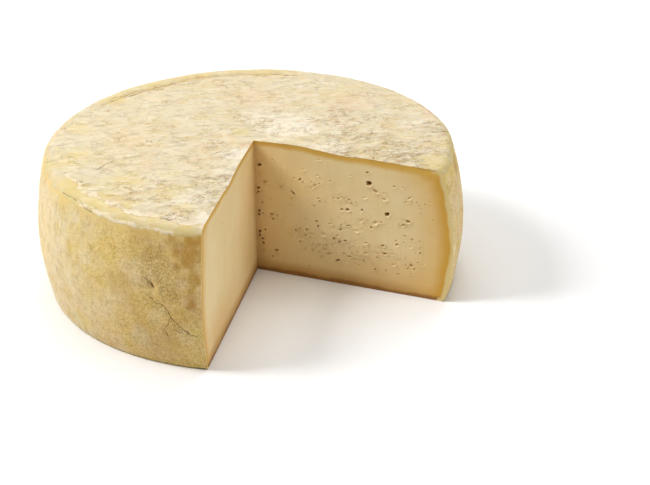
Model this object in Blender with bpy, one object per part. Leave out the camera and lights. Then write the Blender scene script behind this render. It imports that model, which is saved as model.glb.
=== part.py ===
"""Cheese wheel with one wedge cut out of it.

Metres, +Z up. The origin is on the wheel's axis, at the level it stands on. The missing wedge is
centred between +X and -Y, and its two cut faces meet in a vertical line close to the axis.
"""
import math

import bmesh
import bpy
from mathutils import Matrix, Vector

# Outline of the wheel, seen from the side
BELLY_RADIUS = 0.120
BELLY_HEIGHT = 0.033
HEIGHT = 0.0805
TOP_INSET = 0.0073
FOOT_INSET = 0.0050
TOP_SIDE_POWER = 2.0
FOOT_SIDE_POWER = 1.5
SHOULDER_ROUND = 0.0055
FOOT_ROUND = 0.0022

# The missing wedge, down from above
CUT_TIP = Vector((0.0022, 0.0006, 0.0))
CUT_MIDDLE = math.radians(-45.0)
CUT_ANGLE = math.radians(79.2)

# Lobes of the plan outline: how many round the wheel, share of the radius, phase
PLAN_LOBES = ((2, 0.0020, 0.4), (3, 0.0016, 2.1), (5, 0.0011, 4.0), (9, 0.0006, 1.2))

# Soft swells and dips of the top: x, y, half width, height
TOP_SWELLS = (
    (0.024, -0.002, 0.016, 0.0011),
    (0.057, -0.006, 0.013, -0.0010),
    (0.098, -0.010, 0.022, -0.0010),
    (0.005, -0.030, 0.016, 0.0008),
    (0.008, -0.056, 0.013, -0.0009),
    (-0.040, -0.070, 0.030, -0.0006),
    (-0.060, 0.020, 0.035, 0.0006),
    (0.030, 0.065, 0.030, 0.0005),
)

# Raised lip round one stretch of the top edge
LIP_RADIUS = 0.1065
LIP_WIDTH = 0.0045
LIP_HEIGHT = 0.0009
LIP_MIDDLE = math.radians(130.0)
LIP_HALF_SPAN = math.radians(42.0)

# Fineness of the faces
SPIN_STEPS = 144
FLAT_STEPS = 10
SIDE_STEPS = 9
ROUND_STEPS = 4

RIND_COLOUR = (0.66, 0.48, 0.22, 1.0)
RIND_ROUGHNESS = 0.75


def side_radius(height):
    """Radius of the bulging side at a height."""
    if height > BELLY_HEIGHT:
        share = (height - BELLY_HEIGHT) / (HEIGHT - BELLY_HEIGHT)
        return BELLY_RADIUS - TOP_INSET * share ** TOP_SIDE_POWER
    share = (BELLY_HEIGHT - height) / BELLY_HEIGHT
    return BELLY_RADIUS - FOOT_INSET * share ** FOOT_SIDE_POWER


def round_corner(before, corner, after, radius):
    """Points of the arc that rounds the corner between two straight runs."""
    to_before = (before - corner).normalized()
    to_after = (after - corner).normalized()
    half_angle = to_before.angle(to_after) / 2
    centre = corner + (to_before + to_after).normalized() * (radius / math.sin(half_angle))
    start = corner + to_before * (radius / math.tan(half_angle)) - centre
    end = corner + to_after * (radius / math.tan(half_angle)) - centre
    clockwise_sweep = start.angle_signed(end)
    points = []
    for step in range(ROUND_STEPS + 1):
        arm = start.copy()
        arm.rotate(Matrix.Rotation(-clockwise_sweep * step / ROUND_STEPS, 2))
        points.append(centre + arm)
    return points


def wheel_profile():
    """Half section of the whole wheel, from the middle of the top to the middle of the foot."""
    top_middle = Vector((0.0, HEIGHT))
    top_edge = Vector((side_radius(HEIGHT), HEIGHT))
    foot_edge = Vector((side_radius(0.0), 0.0))
    foot_middle = Vector((0.0, 0.0))
    under_top = HEIGHT - 2 * SHOULDER_ROUND
    above_foot = 2 * FOOT_ROUND
    shoulder = round_corner(
        top_middle, top_edge, Vector((side_radius(under_top), under_top)), SHOULDER_ROUND)
    foot = round_corner(
        Vector((side_radius(above_foot), above_foot)), foot_edge, foot_middle, FOOT_ROUND)

    points = [top_middle.lerp(shoulder[0], step / FLAT_STEPS) for step in range(FLAT_STEPS)]
    points += shoulder
    for step in range(1, SIDE_STEPS):
        height = shoulder[-1].y + (foot[0].y - shoulder[-1].y) * step / SIDE_STEPS
        points.append(Vector((side_radius(height), height)))
    points += foot
    points += [foot[-1].lerp(foot_middle, share) for share in (0.4, 1.0)]
    return points


def plan_scale(angle):
    """How far the lobed plan outline stands out from a circle, as a factor."""
    return 1 + sum(share * math.cos(count * angle + phase) for count, share, phase in PLAN_LOBES)


def lip_height(radius, angle):
    """Height of the raised lip above the top."""
    off_middle = math.remainder(angle - LIP_MIDDLE, math.tau)
    if abs(off_middle) > LIP_HALF_SPAN:
        return 0.0
    fade = math.cos(off_middle / LIP_HALF_SPAN * math.pi / 2) ** 0.5
    return LIP_HEIGHT * fade * math.exp(-((radius - LIP_RADIUS) / LIP_WIDTH) ** 2)


def top_swell(x, y):
    """Height of the soft swells and dips above the level top."""
    return sum(height * math.exp(-((x - centre_x) ** 2 + (y - centre_y) ** 2) / width ** 2)
               for centre_x, centre_y, width, height in TOP_SWELLS)


def make_uneven(vertex):
    """Move a point of the true round wheel to where the uneven wheel has it."""
    radius = vertex.co.xy.length
    angle = math.atan2(vertex.co.y, vertex.co.x)
    share_up = max(0.0, (vertex.co.z - BELLY_HEIGHT) / (HEIGHT - BELLY_HEIGHT))
    lift = top_swell(vertex.co.x, vertex.co.y) + lip_height(radius, angle)
    vertex.co.z += lift * share_up ** 3
    vertex.co.xy *= plan_scale(angle)


def make_material(name, colour, roughness):
    """Plain material of one colour."""
    material = bpy.data.materials.new(name)
    material.use_nodes = True
    shader = material.node_tree.nodes["Principled BSDF"]
    shader.inputs["Base Color"].default_value = colour
    shader.inputs["Roughness"].default_value = roughness
    shader.inputs["Metallic"].default_value = 0.0
    return material


def make_object(name, bm):
    """Object of a finished bmesh."""
    mesh = bpy.data.meshes.new(name)
    bm.to_mesh(mesh)
    bm.free()
    piece = bpy.data.objects.new(name, mesh)
    bpy.context.collection.objects.link(piece)
    return piece


def make_wheel():
    """The wheel before it is cut, with its rind rounded over top, side and foot."""
    bm = bmesh.new()
    chain = [bm.verts.new((point.x, 0.0, point.y)) for point in wheel_profile()]
    edges = [bm.edges.new(pair) for pair in zip(chain, chain[1:])]
    bmesh.ops.spin(
        bm, geom=chain + edges, cent=(0, 0, 0), axis=(0, 0, 1), angle=math.tau, steps=SPIN_STEPS)
    bmesh.ops.remove_doubles(bm, verts=bm.verts, dist=0.00001)
    for vertex in bm.verts:
        make_uneven(vertex)
    bmesh.ops.recalc_face_normals(bm, faces=bm.faces)
    wheel = make_object("cheese_wheel", bm)
    wheel.data.materials.append(make_material("cheese", RIND_COLOUR, RIND_ROUGHNESS))
    wheel.data.shade_smooth()
    wheel.data.set_sharp_from_angle(angle=math.radians(40))
    return wheel


def make_wedge_cutter():
    """Upright three-sided block that reaches past the wheel on every side but its tip."""
    reach = 2.5 * BELLY_RADIUS
    margin = 0.01
    bm = bmesh.new()
    corners = [CUT_TIP.copy()]
    for turn in (-CUT_ANGLE / 2, CUT_ANGLE / 2):
        angle = CUT_MIDDLE + turn
        corners.append(CUT_TIP + reach * Vector((math.cos(angle), math.sin(angle), 0.0)))
    face = bm.faces.new([bm.verts.new(corner - Vector((0, 0, margin))) for corner in corners])
    raised = bmesh.ops.extrude_face_region(bm, geom=[face])
    raised_points = [item for item in raised["geom"] if isinstance(item, bmesh.types.BMVert)]
    bmesh.ops.translate(bm, verts=raised_points, vec=(0, 0, HEIGHT + 2 * margin))
    bmesh.ops.recalc_face_normals(bm, faces=bm.faces)
    cutter = make_object("wedge_cutter", bm)
    cutter.hide_render = True
    cutter.display_type = 'WIRE'
    return cutter


def cut_out(piece, cutter):
    """Take the cutter's shape out of a piece."""
    cut = piece.modifiers.new("missing wedge", 'BOOLEAN')
    cut.operation = 'DIFFERENCE'
    cut.solver = 'EXACT'
    cut.object = cutter


def main():
    for old in list(bpy.data.objects):
        bpy.data.objects.remove(old, do_unlink=True)
    cut_out(make_wheel(), make_wedge_cutter())


main()
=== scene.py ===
"""Looks of a cheese wheel with one wedge cut out: wrinkled rind, pale paste with small eyes.

The visible wheel is one closed mesh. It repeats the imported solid's form, scaled from the solid's
box, and adds the relief of the rind and the eyes of the two cut faces. Lengths are in metres.
"""
import math
from collections import namedtuple

import bpy
import numpy as np
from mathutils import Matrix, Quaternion, Vector, geometry, noise


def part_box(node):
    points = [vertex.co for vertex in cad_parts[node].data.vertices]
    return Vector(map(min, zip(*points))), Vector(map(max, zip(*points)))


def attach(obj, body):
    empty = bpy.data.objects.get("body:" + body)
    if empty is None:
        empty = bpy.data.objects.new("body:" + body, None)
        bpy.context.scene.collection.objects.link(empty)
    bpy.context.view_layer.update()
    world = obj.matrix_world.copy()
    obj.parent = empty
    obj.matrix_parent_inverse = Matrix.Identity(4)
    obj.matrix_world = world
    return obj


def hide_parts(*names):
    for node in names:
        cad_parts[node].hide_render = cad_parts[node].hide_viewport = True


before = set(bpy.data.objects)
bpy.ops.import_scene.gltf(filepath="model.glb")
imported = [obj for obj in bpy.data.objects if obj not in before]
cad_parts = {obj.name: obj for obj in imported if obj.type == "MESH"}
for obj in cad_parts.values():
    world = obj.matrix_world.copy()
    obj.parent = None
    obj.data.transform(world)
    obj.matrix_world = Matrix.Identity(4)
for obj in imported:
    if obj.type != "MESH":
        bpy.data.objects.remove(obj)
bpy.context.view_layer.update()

MM = 0.001

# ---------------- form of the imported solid
LOW, HIGH = (np.array(corner, float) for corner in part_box("cheese_wheel"))
TOP_RISE = 0.0011
BELLY_RADIUS = (HIGH[0] - LOW[0]) / 2
HEIGHT = HIGH[2] - TOP_RISE
BELLY_HEIGHT = 0.41 * HEIGHT
TOP_INSET = 0.0073
FOOT_INSET = 0.005
SHOULDER_ROUND = 0.0055
FOOT_ROUND = 0.0022

CUT_TIP = np.array((0.0022, 0.0006))
CUT_MIDDLE = math.radians(-45.0)
CUT_ANGLE = math.radians(79.2)
RIGHT_CUT = CUT_MIDDLE + CUT_ANGLE / 2
LEFT_CUT = CUT_MIDDLE - CUT_ANGLE / 2 + math.tau

PLAN_LOBES = ((2, 0.002, 0.4), (3, 0.0016, 2.1), (5, 0.0011, 4.0), (9, 0.0006, 1.2))
TOP_SWELLS = (
    (0.024, -0.002, 0.016, 0.0011),
    (0.057, -0.006, 0.013, -0.001),
    (0.098, -0.01, 0.022, -0.001),
    (0.005, -0.03, 0.016, 0.0008),
    (0.008, -0.056, 0.013, -0.0009),
    (-0.04, -0.07, 0.03, -0.0006),
    (-0.06, 0.02, 0.035, 0.0006),
    (0.03, 0.065, 0.03, 0.0005),
)
LIP_RADIUS = 0.1065
LIP_WIDTH = 0.0045
LIP_HEIGHT = 0.0009
LIP_MIDDLE = math.radians(130.0)
LIP_HALF_SPAN = math.radians(42.0)

# ---------------- fineness of the visible mesh
TOP_SPACING = 1.05 * MM
SIDE_SPACING = 1.3 * MM
EDGE_SPACING = 0.8 * MM
FOOT_SPACING = 5.0 * MM
FOOT_EDGE_SPACING = 2.0 * MM
TIP_EDGE_STEPS = 54
RIGHT_GRID = (104, 72)
LEFT_GRID = (76, 52)
SHARP_ANGLE = math.radians(50)
# How far a place of a grid may lie off its row, as a share of the spacing
GRID_SHIFT = 0.16
CUT_GRID_SHIFT = 0.2
# Settings of the triangle fill: only what lies inside the outline, and how close points are one
INSIDE_ONLY = 1
SAME_PLACE = 1e-9

TOP, SIDE, FOOT, RIGHT_FACE, LEFT_FACE, SECOND_HALF = range(6)
# Where each region's own zero lies in the baked texture, in pixels, and its pixels to a mm, negative
# where the region would be mirrored otherwise. The side's second half has its own place.
TEXTURE_SIZE = 1024
TEXTURE_PLACES = {
    TOP: ((290, 290), (2.6, 2.6)), FOOT: ((864, 745), (-1.28, 1.28)),
    RIGHT_FACE: ((594, 6), (3.45, 3.45)), LEFT_FACE: ((1012, 296), (-3.45, 3.45)),
    SIDE: ((4, 800), (2.38, -2.38)), SECOND_HALF: ((4, 1016), (2.38, -2.38)),
}
# What the materials read at each point: shares from 0 to 1, and distances in mm on the cut faces
SPOT_KINDS = ("pale", "straw", "rosy", "brown", "grainy")
# The eye mark is the share of painted shade inside the eyes and dents
MARKS = (
    "top_share", "from_brow", "fold", "rough", "ochre", "from_ridge", "ridge_span", "lip_span",
    "from_crack", "crack_span", *SPOT_KINDS, "eye", "crumbly", "from_top", "from_rim", "from_foot",
    "from_tip",
)


# ---------------- shape functions
def side_radius(height):
    """Radius of the bulging side at a height."""
    up = np.clip((height - BELLY_HEIGHT) / (HEIGHT - BELLY_HEIGHT), 0, 1)
    down = np.clip((BELLY_HEIGHT - height) / BELLY_HEIGHT, 0, 1)
    return BELLY_RADIUS - TOP_INSET * up ** 2 - FOOT_INSET * down ** 1.5


def plan_scale(angle):
    """How far the lobed plan outline stands out from a circle, as a factor."""
    return 1 + sum(share * np.cos(count * angle + phase) for count, share, phase in PLAN_LOBES)


def heading(angle):
    """Unit vector in plan that points along an angle, or one column for each angle."""
    return np.array((np.cos(angle), np.sin(angle)))


def reach_from_tip(angle, radius):
    """Distance from the cut's tip, along an angle, to the plan outline of a radius."""
    along = heading(angle)
    forward = CUT_TIP @ along
    reach = radius + 0 * angle
    for _ in range(3):
        point = CUT_TIP[:, None] + reach * along
        outline = radius * plan_scale(np.arctan2(point[1], point[0]))
        reach = np.sqrt(forward ** 2 - CUT_TIP @ CUT_TIP + outline ** 2) - forward
    return reach


def top_lift(x, y):
    """Height of the swells, dips and lip above the level top."""
    lift = 0 * x
    for centre_x, centre_y, width, height in TOP_SWELLS:
        lift = lift + height * np.exp(-((x - centre_x) ** 2 + (y - centre_y) ** 2) / width ** 2)
    radius = np.hypot(x, y)
    off_middle = np.abs(np.remainder(np.arctan2(y, x) - LIP_MIDDLE + math.pi, math.tau) - math.pi)
    fade = np.cos(np.clip(off_middle / LIP_HALF_SPAN, 0, 1) * math.pi / 2) ** 0.5
    return lift + LIP_HEIGHT * fade * np.exp(-((radius - LIP_RADIUS) / LIP_WIDTH) ** 2)


def rounded(before, corner, after, radius, steps):
    """Points of the arc that rounds a corner of the side outline."""
    before, corner, after = (np.array(point, float) for point in (before, corner, after))
    to_before = (before - corner) / np.linalg.norm(before - corner)
    to_after = (after - corner) / np.linalg.norm(after - corner)
    half_angle = math.acos(to_before @ to_after) / 2
    middle = (to_before + to_after) / np.linalg.norm(to_before + to_after)
    centre = corner + middle * radius / math.sin(half_angle)
    start = corner + to_before * radius / math.tan(half_angle) - centre
    end = corner + to_after * radius / math.tan(half_angle) - centre
    turn = math.acos(start @ end / radius ** 2)
    shares = np.linspace(0, 1, steps + 1)[:, None]
    arc = np.sin((1 - shares) * turn) * start + np.sin(shares * turn) * end
    return centre + arc / math.sin(turn)


def side_outline():
    """Outline of shoulder, side and foot rounding, from the top down, as (radius, height)."""
    under_top = HEIGHT - 2 * SHOULDER_ROUND
    above_foot = 2 * FOOT_ROUND
    shoulder = rounded((0, HEIGHT), (side_radius(HEIGHT), HEIGHT),
                       (side_radius(under_top), under_top), SHOULDER_ROUND, 8)
    foot = rounded((side_radius(above_foot), above_foot), (side_radius(0.0), 0.0),
                   (0, 0), FOOT_ROUND, 4)
    steps = round((shoulder[-1, 1] - foot[0, 1]) / SIDE_SPACING)
    heights = np.linspace(shoulder[-1, 1], foot[0, 1], steps + 1)[1:-1]
    side = np.stack([side_radius(heights), heights], 1)
    return np.concatenate([shoulder, side, foot])


# ---------------- noise and small helpers
def add_object(name, data):
    """Put a new object with the given data into the scene."""
    added = bpy.data.objects.new(name, data)
    bpy.context.collection.objects.link(added)
    return added


def smooth_step(low, high, value):
    """0 below low, 1 above high, and a soft slope between."""
    share = np.clip((value - low) / (high - low), 0, 1)
    return share * share * (3 - 2 * share)


# How far apart in the noise two seeds in a row lie
SEED_STEP = np.array((17.3, 5.1, 9.7))


def noise_at(points, size, octaves, seed):
    """Soft noise from about -1 to 1 whose swells are about one size wide."""
    scaled = points / size + seed * SEED_STEP
    return np.array([noise.fractal(point, 1.0, 2.0, octaves) for point in scaled.tolist()])


def drifts(points, size, seeds):
    """Columns of soft noise, one for each seed."""
    return np.stack([noise_at(points, size, 2, seed=seed) for seed in seeds], 1)


def turned(points, angle, stretch):
    """Points turned about the vertical and squeezed along the new first axis."""
    cosine, sine = math.cos(angle), math.sin(angle)
    along = (points[:, 0] * cosine + points[:, 1] * sine) / stretch
    across = points[:, 1] * cosine - points[:, 0] * sine
    return np.stack([along, across, points[:, 2]], 1)


def distance_to_path(points, path):
    """Distance of each point from the nearest place on a path of straight runs."""
    nearest = np.full(len(points), np.inf)
    for start, end in zip(path, path[1:]):
        run = end - start
        share = np.clip((points - start) @ run / (run @ run), 0, 1)
        nearest = np.minimum(nearest, np.linalg.norm(points - start - share[:, None] * run, axis=1))
    return nearest


# ---------------- the shell that becomes the mesh
class Shell:
    """Points, their marks and the faces, gathered region by region."""

    def __init__(self):
        self.unrolled = None
        self.points = []
        self.marks = {name: [] for name in MARKS}
        self.faces = []
        self.regions = []

    def add_points(self, coordinates, **marks):
        """Add points with their marks, 0 where none is given, and return their numbers."""
        first = len(self.points)
        self.points.extend(np.asarray(coordinates, float).tolist())
        for name, values in self.marks.items():
            values.extend(marks.get(name, np.zeros(len(coordinates))).tolist())
        return list(range(first, len(self.points)))

    def add_faces(self, faces, region):
        """Add faces, given by their points' numbers."""
        self.faces.extend(faces)
        self.regions.extend([region] * len(faces))

    def fill(self, outline, outline_flat, inner, inner_flat, region, flip=False):
        """Fill a closed outline of existing points, and the points inside it, with triangles."""
        numbers = list(outline) + list(inner)
        flat = [Vector(point) for point in np.concatenate([outline_flat, inner_flat]).tolist()]
        ring = list(range(len(outline)))
        filled = geometry.delaunay_2d_cdt(flat, [], [ring], INSIDE_ONLY, SAME_PLACE)
        triangles, origins = filled[2:4]
        faces = []
        for triangle in triangles:
            corners = [numbers[origins[corner][0]] for corner in triangle]
            faces.append(corners[::-1] if flip else corners)
        self.add_faces(faces, region)


def column_angles():
    """Angles of the rind's columns, closer together near the cuts, from the right cut to the left."""
    angles = [RIGHT_CUT]
    while angles[-1] < LEFT_CUT:
        from_cut = min(angles[-1] - RIGHT_CUT, LEFT_CUT - angles[-1]) * BELLY_RADIUS
        spacing = SIDE_SPACING * (0.6 + 0.5 * float(smooth_step(0.02, 0.09, from_cut)))
        angles.append(angles[-1] + spacing / BELLY_RADIUS)
    angles = np.array(angles)
    return RIGHT_CUT + (angles - RIGHT_CUT) * (LEFT_CUT - RIGHT_CUT) / (angles[-1] - RIGHT_CUT)


def onto_cut(points, angle):
    """Move points straight into the upright plane of a cut."""
    along = heading(angle)
    moved = points.copy()
    moved[:, :2] = CUT_TIP + np.outer((points[:, :2] - CUT_TIP) @ along, along)
    return moved


def inside_top(plan, margin):
    """Whether places in plan are clear of the top's edge and of both cuts by a margin."""
    from_tip = plan - CUT_TIP
    angle = np.remainder(np.arctan2(from_tip[:, 1], from_tip[:, 0]) - RIGHT_CUT, math.tau) + RIGHT_CUT
    reach = np.hypot(from_tip[:, 0], from_tip[:, 1])
    clear = (angle < LEFT_CUT) & (reach < reach_from_tip(angle, side_outline()[0, 0]) - margin)
    for cut in (RIGHT_CUT, LEFT_CUT):
        ahead = from_tip @ heading(cut) > -margin
        beside = np.abs(from_tip @ (-math.sin(cut), math.cos(cut))) < margin
        clear &= ~(ahead & beside)
    return clear


def along_cut(cut, length, spacing):
    """Places in plan on a cut, from near its outer end to near the tip."""
    distances = np.linspace(length, 0, round(length / spacing) + 1)[1:-1, None]
    return CUT_TIP + distances * heading(cut)


def at_height(plan, height):
    """Places in space above places in plan."""
    return np.column_stack([plan, np.zeros(len(plan)) + height])


def staggered_grid(spacing):
    """Places in plan, in staggered rows over the whole wheel, each a little off its row."""
    half = 1.05 * BELLY_RADIUS
    rows = np.arange(-half, half, spacing * math.sqrt(0.75))
    columns = np.arange(-half, half, spacing)
    x, y = np.meshgrid(columns, rows)
    x[::2] += spacing / 2
    shift = np.random.default_rng(3).uniform(-GRID_SHIFT, GRID_SHIFT, (2,) + x.shape) * spacing
    return np.stack([(x + shift[0]).ravel(), (y + shift[1]).ravel()], 1)


# ---------------- rind
FOLD_DIRECTION = math.radians(20.0)

FOLD_STRETCH = 2.4
# Heights of the rind's relief in mm, on top and on the side
TOP_SWELL, SIDE_SWELL, SIDE_WAVE, GRAIN = 0.22, 0.28, 0.14, 0.06
FOLD, FINE_FOLD, FOLD_FOOT = 0.8, 0.34, 0.35
RIDGE, BROW_FLAKES, RIDGE_FLAKES, LIP_CREASE = 0.35, 0.15, 0.35, 0.7
# Exponent that makes the folds' crests a little rounder than their valleys
FOLD_ROUNDNESS = 0.8

# Zones of strong wrinkles on top: x, y, radius in mm, strength
ROUGH_ZONES = (
    (12, -62, 34, 1.0), (-34, -72, 26, 0.7), (-6, -100, 16, 1.0), (62, 12, 34, 1.0), (44, 44, 22, 0.8),
    (90, -2, 24, 1.0), (98, 16, 18, 0.9), (0, 20, 22, 0.7), (-20, -20, 26, 0.5), (88, 46, 16, 0.6),
    (-66, -80, 14, 0.5),
)
# Coloured spots of the top: x, y, radius in mm, strength
TOP_SPOTS = {
    "pale": (
        (16, 24, 20, 1.0), (-4, 34, 15, 0.6), (3, -19, 13, 0.8), (-35, -60, 15, 0.3), (-4, -80, 13, 0.6),
        (-6, -106, 9, 0.9), (11, -101, 9, 0.9), (93, -23, 12, 0.5), (47, 2, 14, 0.6), (84, 46, 9, 0.6),
        (4, -46, 12, 0.5), (-48, -99, 8, 0.8), (-28, -107, 8, 0.9), (-62, -89, 6, 0.7), (-84, -58, 7, 0.4),
        (-55, -98, 7, 0.7), (-38, -105, 7, 0.8),
    ),
    "straw": (
        (-89, -50, 16, 0.9), (-70, -82, 13, 0.9), (-52, -88, 12, 0.8), (-36, -92, 10, 0.7),
        (-5, -90, 8, 0.7), (-14, -70, 8, 0.5), (106, 1, 11, 0.7), (108, -20, 9, 0.9), (-7, 12, 7, 0.6),
        (-95, 36, 10, 0.6), (-85, 62, 9, 0.5), (-62, 86, 9, 0.5), (-28, -52, 8, 0.5), (30, 78, 12, 0.3),
        (-46, -68, 15, 0.75), (-20, -74, 12, 0.75),
        (-101, -8, 9, 0.7), (104, 26, 8, 0.6), (112, -4, 8, 1.0), (113, 10, 8, 1.0),
    ),
    "rosy": (
        (-20, 61, 17, 0.6), (-70, -12, 13, 0.5), (-22, -14, 9, 0.6), (0, -7, 5, 0.7), (-36, -77, 4, 1.0),
        (-42, -45, 10, 0.3), (39, 68, 17, 0.7), (44, 40, 13, 0.5), (85, 64, 9, 0.6), (49, 78, 12, 0.5),
        (-95, 30, 5, 0.8), (-2, 52, 9, 0.5), (98, 18, 7, 0.4),
    ),
    "brown": ((-36, -79, 2.0, 0.6), (36, 62, 8, 0.25), (40, 45, 7, 0.25), (104, 42, 4, 0.6)),
}
# Coloured spots of the side: angle round the wheel in degrees, height and radius in mm, strength
SIDE_SPOTS = {
    "pale": (
        (-118, 52, 6, 1.0), (-101, 17, 8, 0.8), (-112, 28, 9, 0.6), (-118, 21, 8, 0.6), (-96, 30, 6, 0.5),
        (-108, 40, 7, 0.3), (-104, 56, 6, 0.4), (-89, 71, 2.4, 0.9), (-124, 34, 8, 0.5),
        (-100, 55, 13, 0.34), (-98, 72, 9, 0.36), (-141, 52, 16, 0.4),
    ),
    "straw": (
        (-112, 60, 13, 0.7), (-110, 49, 11, 0.6), (-122, 60, 13, 0.6), (-122, 10, 8, 0.7),
        (-85, 24, 5, 0.8), (-108, 75, 10, 0.7), (-96, 76, 6, 0.5), (-130, 72, 10, 0.6), (-100, 66, 8, 0.5),
        (-85.5, 52, 3, 0.5), (-4, 74, 7, 1.0), (3, 76, 7, 1.0), (11, 76, 7, 0.9),
    ),
    "rosy": (
        (-86, 42, 6, 1.0), (-140, 40, 22, 0.8), (-142, 64, 18, 0.8), (-112, 22, 10, 0.5),
        (-86, 38, 4, 0.9), (-88, 52, 5, 0.5), (-134, 18, 14, 0.6), (-112, 10, 12, 0.7), (-97, 9, 13, 0.7),
        (-124, 22, 12, 0.5), (-3, 58, 12, 0.9), (3, 40, 13, 1.0),
        (-2, 22, 12, 0.9), (10, 56, 12, 0.8),
    ),
    "brown": (
        (-89, 71, 8, 0.8), (-86, 73, 7, 1.0), (-87, 64, 8, 0.8), (-85.5, 55, 6, 0.7), (-86, 44, 5, 0.7),
        (-106, 44, 9, 0.4), (-100, 72, 9, 0.4), (-93, 18, 9, 0.4), (-103, 36, 8, 0.3), (-97, 66, 7, 0.4),
        (-89, 33, 6, 0.3), (-95, 14, 12, 0.35), (-99, 22, 10, 0.3), (-86, 40.5, 4.5, 1.0),
        (-86, 48, 3.5, 0.7), (-83, 69, 6, 0.8),
    ),
    "grainy": (
        (-96, 63, 9, 1.0), (-94, 56, 10, 1.0), (-92, 47, 9, 1.0), (-98, 50, 8, 0.8), (-95, 38, 7, 0.6),
        (-101, 60, 7, 0.5), (-91, 24, 8, 0.4), (-100, 15, 9, 0.5),
    ),
}
# Spots of the sides that face away: how many of each kind, and their range of radius in mm
HIDDEN_SPOTS = {"pale": (26, 3, 10), "straw": (16, 5, 14), "rosy": (14, 5, 18), "brown": (16, 3, 9),
                "grainy": (16, 5, 11)}

# Cracks and creases: path, width and depth in mm. On top the path is x, y in mm.
TOP_CRACKS = (
    (((86, 37), (93, 38.5), (98, 39.5), (103, 43)), 0.7, 0.6),
    (((-92, 42), (-85, 54), (-79, 63), (-71, 71)), 0.7, 0.5),
    (((-99, 38), (-95, 43)), 0.9, 0.4),
    (((-18, 100), (-11, 101.5), (-4, 102)), 0.7, 0.4),
    (((-67, -57), (-65.5, -50), (-63.5, -44)), 0.4, 0.35),
    (((-14, -23), (-11, -18), (-10, -15)), 0.4, 0.35),
    (((-11, -104.5), (-6, -105), (-2, -103.5)), 0.7, 0.6),
    (((-83, -66), (-81, -64)), 0.9, 0.4),
    (((-71, -75), (-69, -73.5)), 0.9, 0.4),
)
# On the side the path is angle round the wheel in degrees, height in mm.
SIDE_CRACKS = (
    (((-131.3, 78.3), (-128.6, 78.8), (-124.9, 79.1), (-121.6, 78.7), (-116.8, 76.9)), 0.35, 0.35),
    (((-98, 43), (-96, 39.5), (-93.5, 38), (-91.5, 32), (-89.5, 27), (-86.5, 22)), 0.45, 0.6),
    (((-91.5, 33), (-92.5, 27), (-94, 24), (-93, 20)), 0.35, 0.35),
    (((-90.5, 23.5), (-88.5, 23.2), (-86.5, 22.5), (-85, 21.5)), 0.45, 0.5),
    (((-97.0, 49.2), (-96.4, 47.8)), 2.0, 1.2),
    (((-99, 52), (-98.2, 51.4)), 0.6, 0.4),
)
# Two stretches where the wrinkled top ends short of the edge and a smooth band lies outside it:
# the pale ragged ridge left of the wedge, and the plain lip at the back. Angles and radii.
RIDGE_SPAN = (math.radians(-146.0), math.radians(-80.0))
RIDGE_RADIUS = 0.1058
LIP_SPAN = (math.radians(88.0), math.radians(170.0))
LIP_CREASE_RADIUS = 0.1025
# Where the film ends on the shoulder: this far down the outline from where the level top ends
BROW_RUN = 6.3 * MM


def on_side(angle_degrees, height_mm):
    """Place on the side, given by its angle round the wheel and its height."""
    angle = math.radians(angle_degrees)
    radius = side_radius(height_mm * MM)
    return np.array((radius * math.cos(angle), radius * math.sin(angle), height_mm * MM))


def on_top(x_mm, y_mm):
    """Place on the level top."""
    return np.array((x_mm * MM, y_mm * MM, HEIGHT))


def spot_places():
    """All spots by kind: place, radius in metres and strength."""
    places = {kind: [] for kind in SPOT_KINDS}
    for kind, spots in TOP_SPOTS.items():
        places[kind] += [(on_top(x, y), radius * MM, strength) for x, y, radius, strength in spots]
    for kind, spots in SIDE_SPOTS.items():
        places[kind] += [(on_side(angle, height), radius * MM, strength)
                         for angle, height, radius, strength in spots]
    draw = np.random.default_rng(5)
    for kind, (count, small, large) in HIDDEN_SPOTS.items():
        for _ in range(count):
            angle = draw.uniform(math.degrees(RIGHT_CUT), 212)
            place = on_side(angle, draw.uniform(4, 78))
            places[kind].append((place, draw.uniform(small, large) * MM, draw.uniform(0.4, 1.0)))
    return places


def spot_shares(points):
    """For each kind of spot, the share from 0 to 1 by which each point lies in one."""
    ragged = 0.55 * noise_at(points, 5 * MM, 3, seed=10)
    shares = {}
    for kind, spots in spot_places().items():
        share = np.zeros(len(points))
        for place, radius, strength in spots:
            distance = np.linalg.norm(points - place, axis=1) / radius + ragged
            share = np.maximum(share, strength * smooth_step(1.2, 0.3, distance))
        shares[kind] = share
    return shares


def crack_marks(points, normals):
    """Cracks of the rind: depth in mm, distance in widths from the middle of the nearest one, with
    a sign for its side, and the share from 0 to 1 by which a crack is there at all."""
    moved = points + 0.6 * MM * drifts(points, 3 * MM, (11, 12, 13))
    nearest = np.full(len(points), np.inf)
    depth, across, span = (np.zeros(len(points)) for _ in range(3))
    for cracks, place_on in ((TOP_CRACKS, on_top), (SIDE_CRACKS, on_side)):
        for path, width, deepest in cracks:
            places = [place_on(*place) for place in path]
            for start, end in zip(places, places[1:]):
                run = (end - start) / np.linalg.norm(end - start)
                along = (moved - start) @ run
                beyond = np.maximum(np.maximum(-along, along - np.linalg.norm(end - start)), 0)
                aside = np.einsum("ij,ij->i", np.cross(normals, run), moved - start)
                apart = np.hypot(aside, beyond) / (width * MM)
                depth = np.maximum(depth, deepest * np.exp(-apart ** 2))
                closer = apart < nearest
                nearest[closer] = apart[closer]
                across[closer] = aside[closer] / (width * MM)
                span[closer] = smooth_step(0.9 * MM, 0.1 * MM, beyond[closer])
    return depth, across, span * smooth_step(6, 3, nearest)


def span_share(angle, span):
    """1 well inside a span of angles, fading to 0 at its ends."""
    return smooth_step(span[0], span[0] + 0.22, angle) * smooth_step(span[1], span[1] - 0.16, angle)


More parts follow.
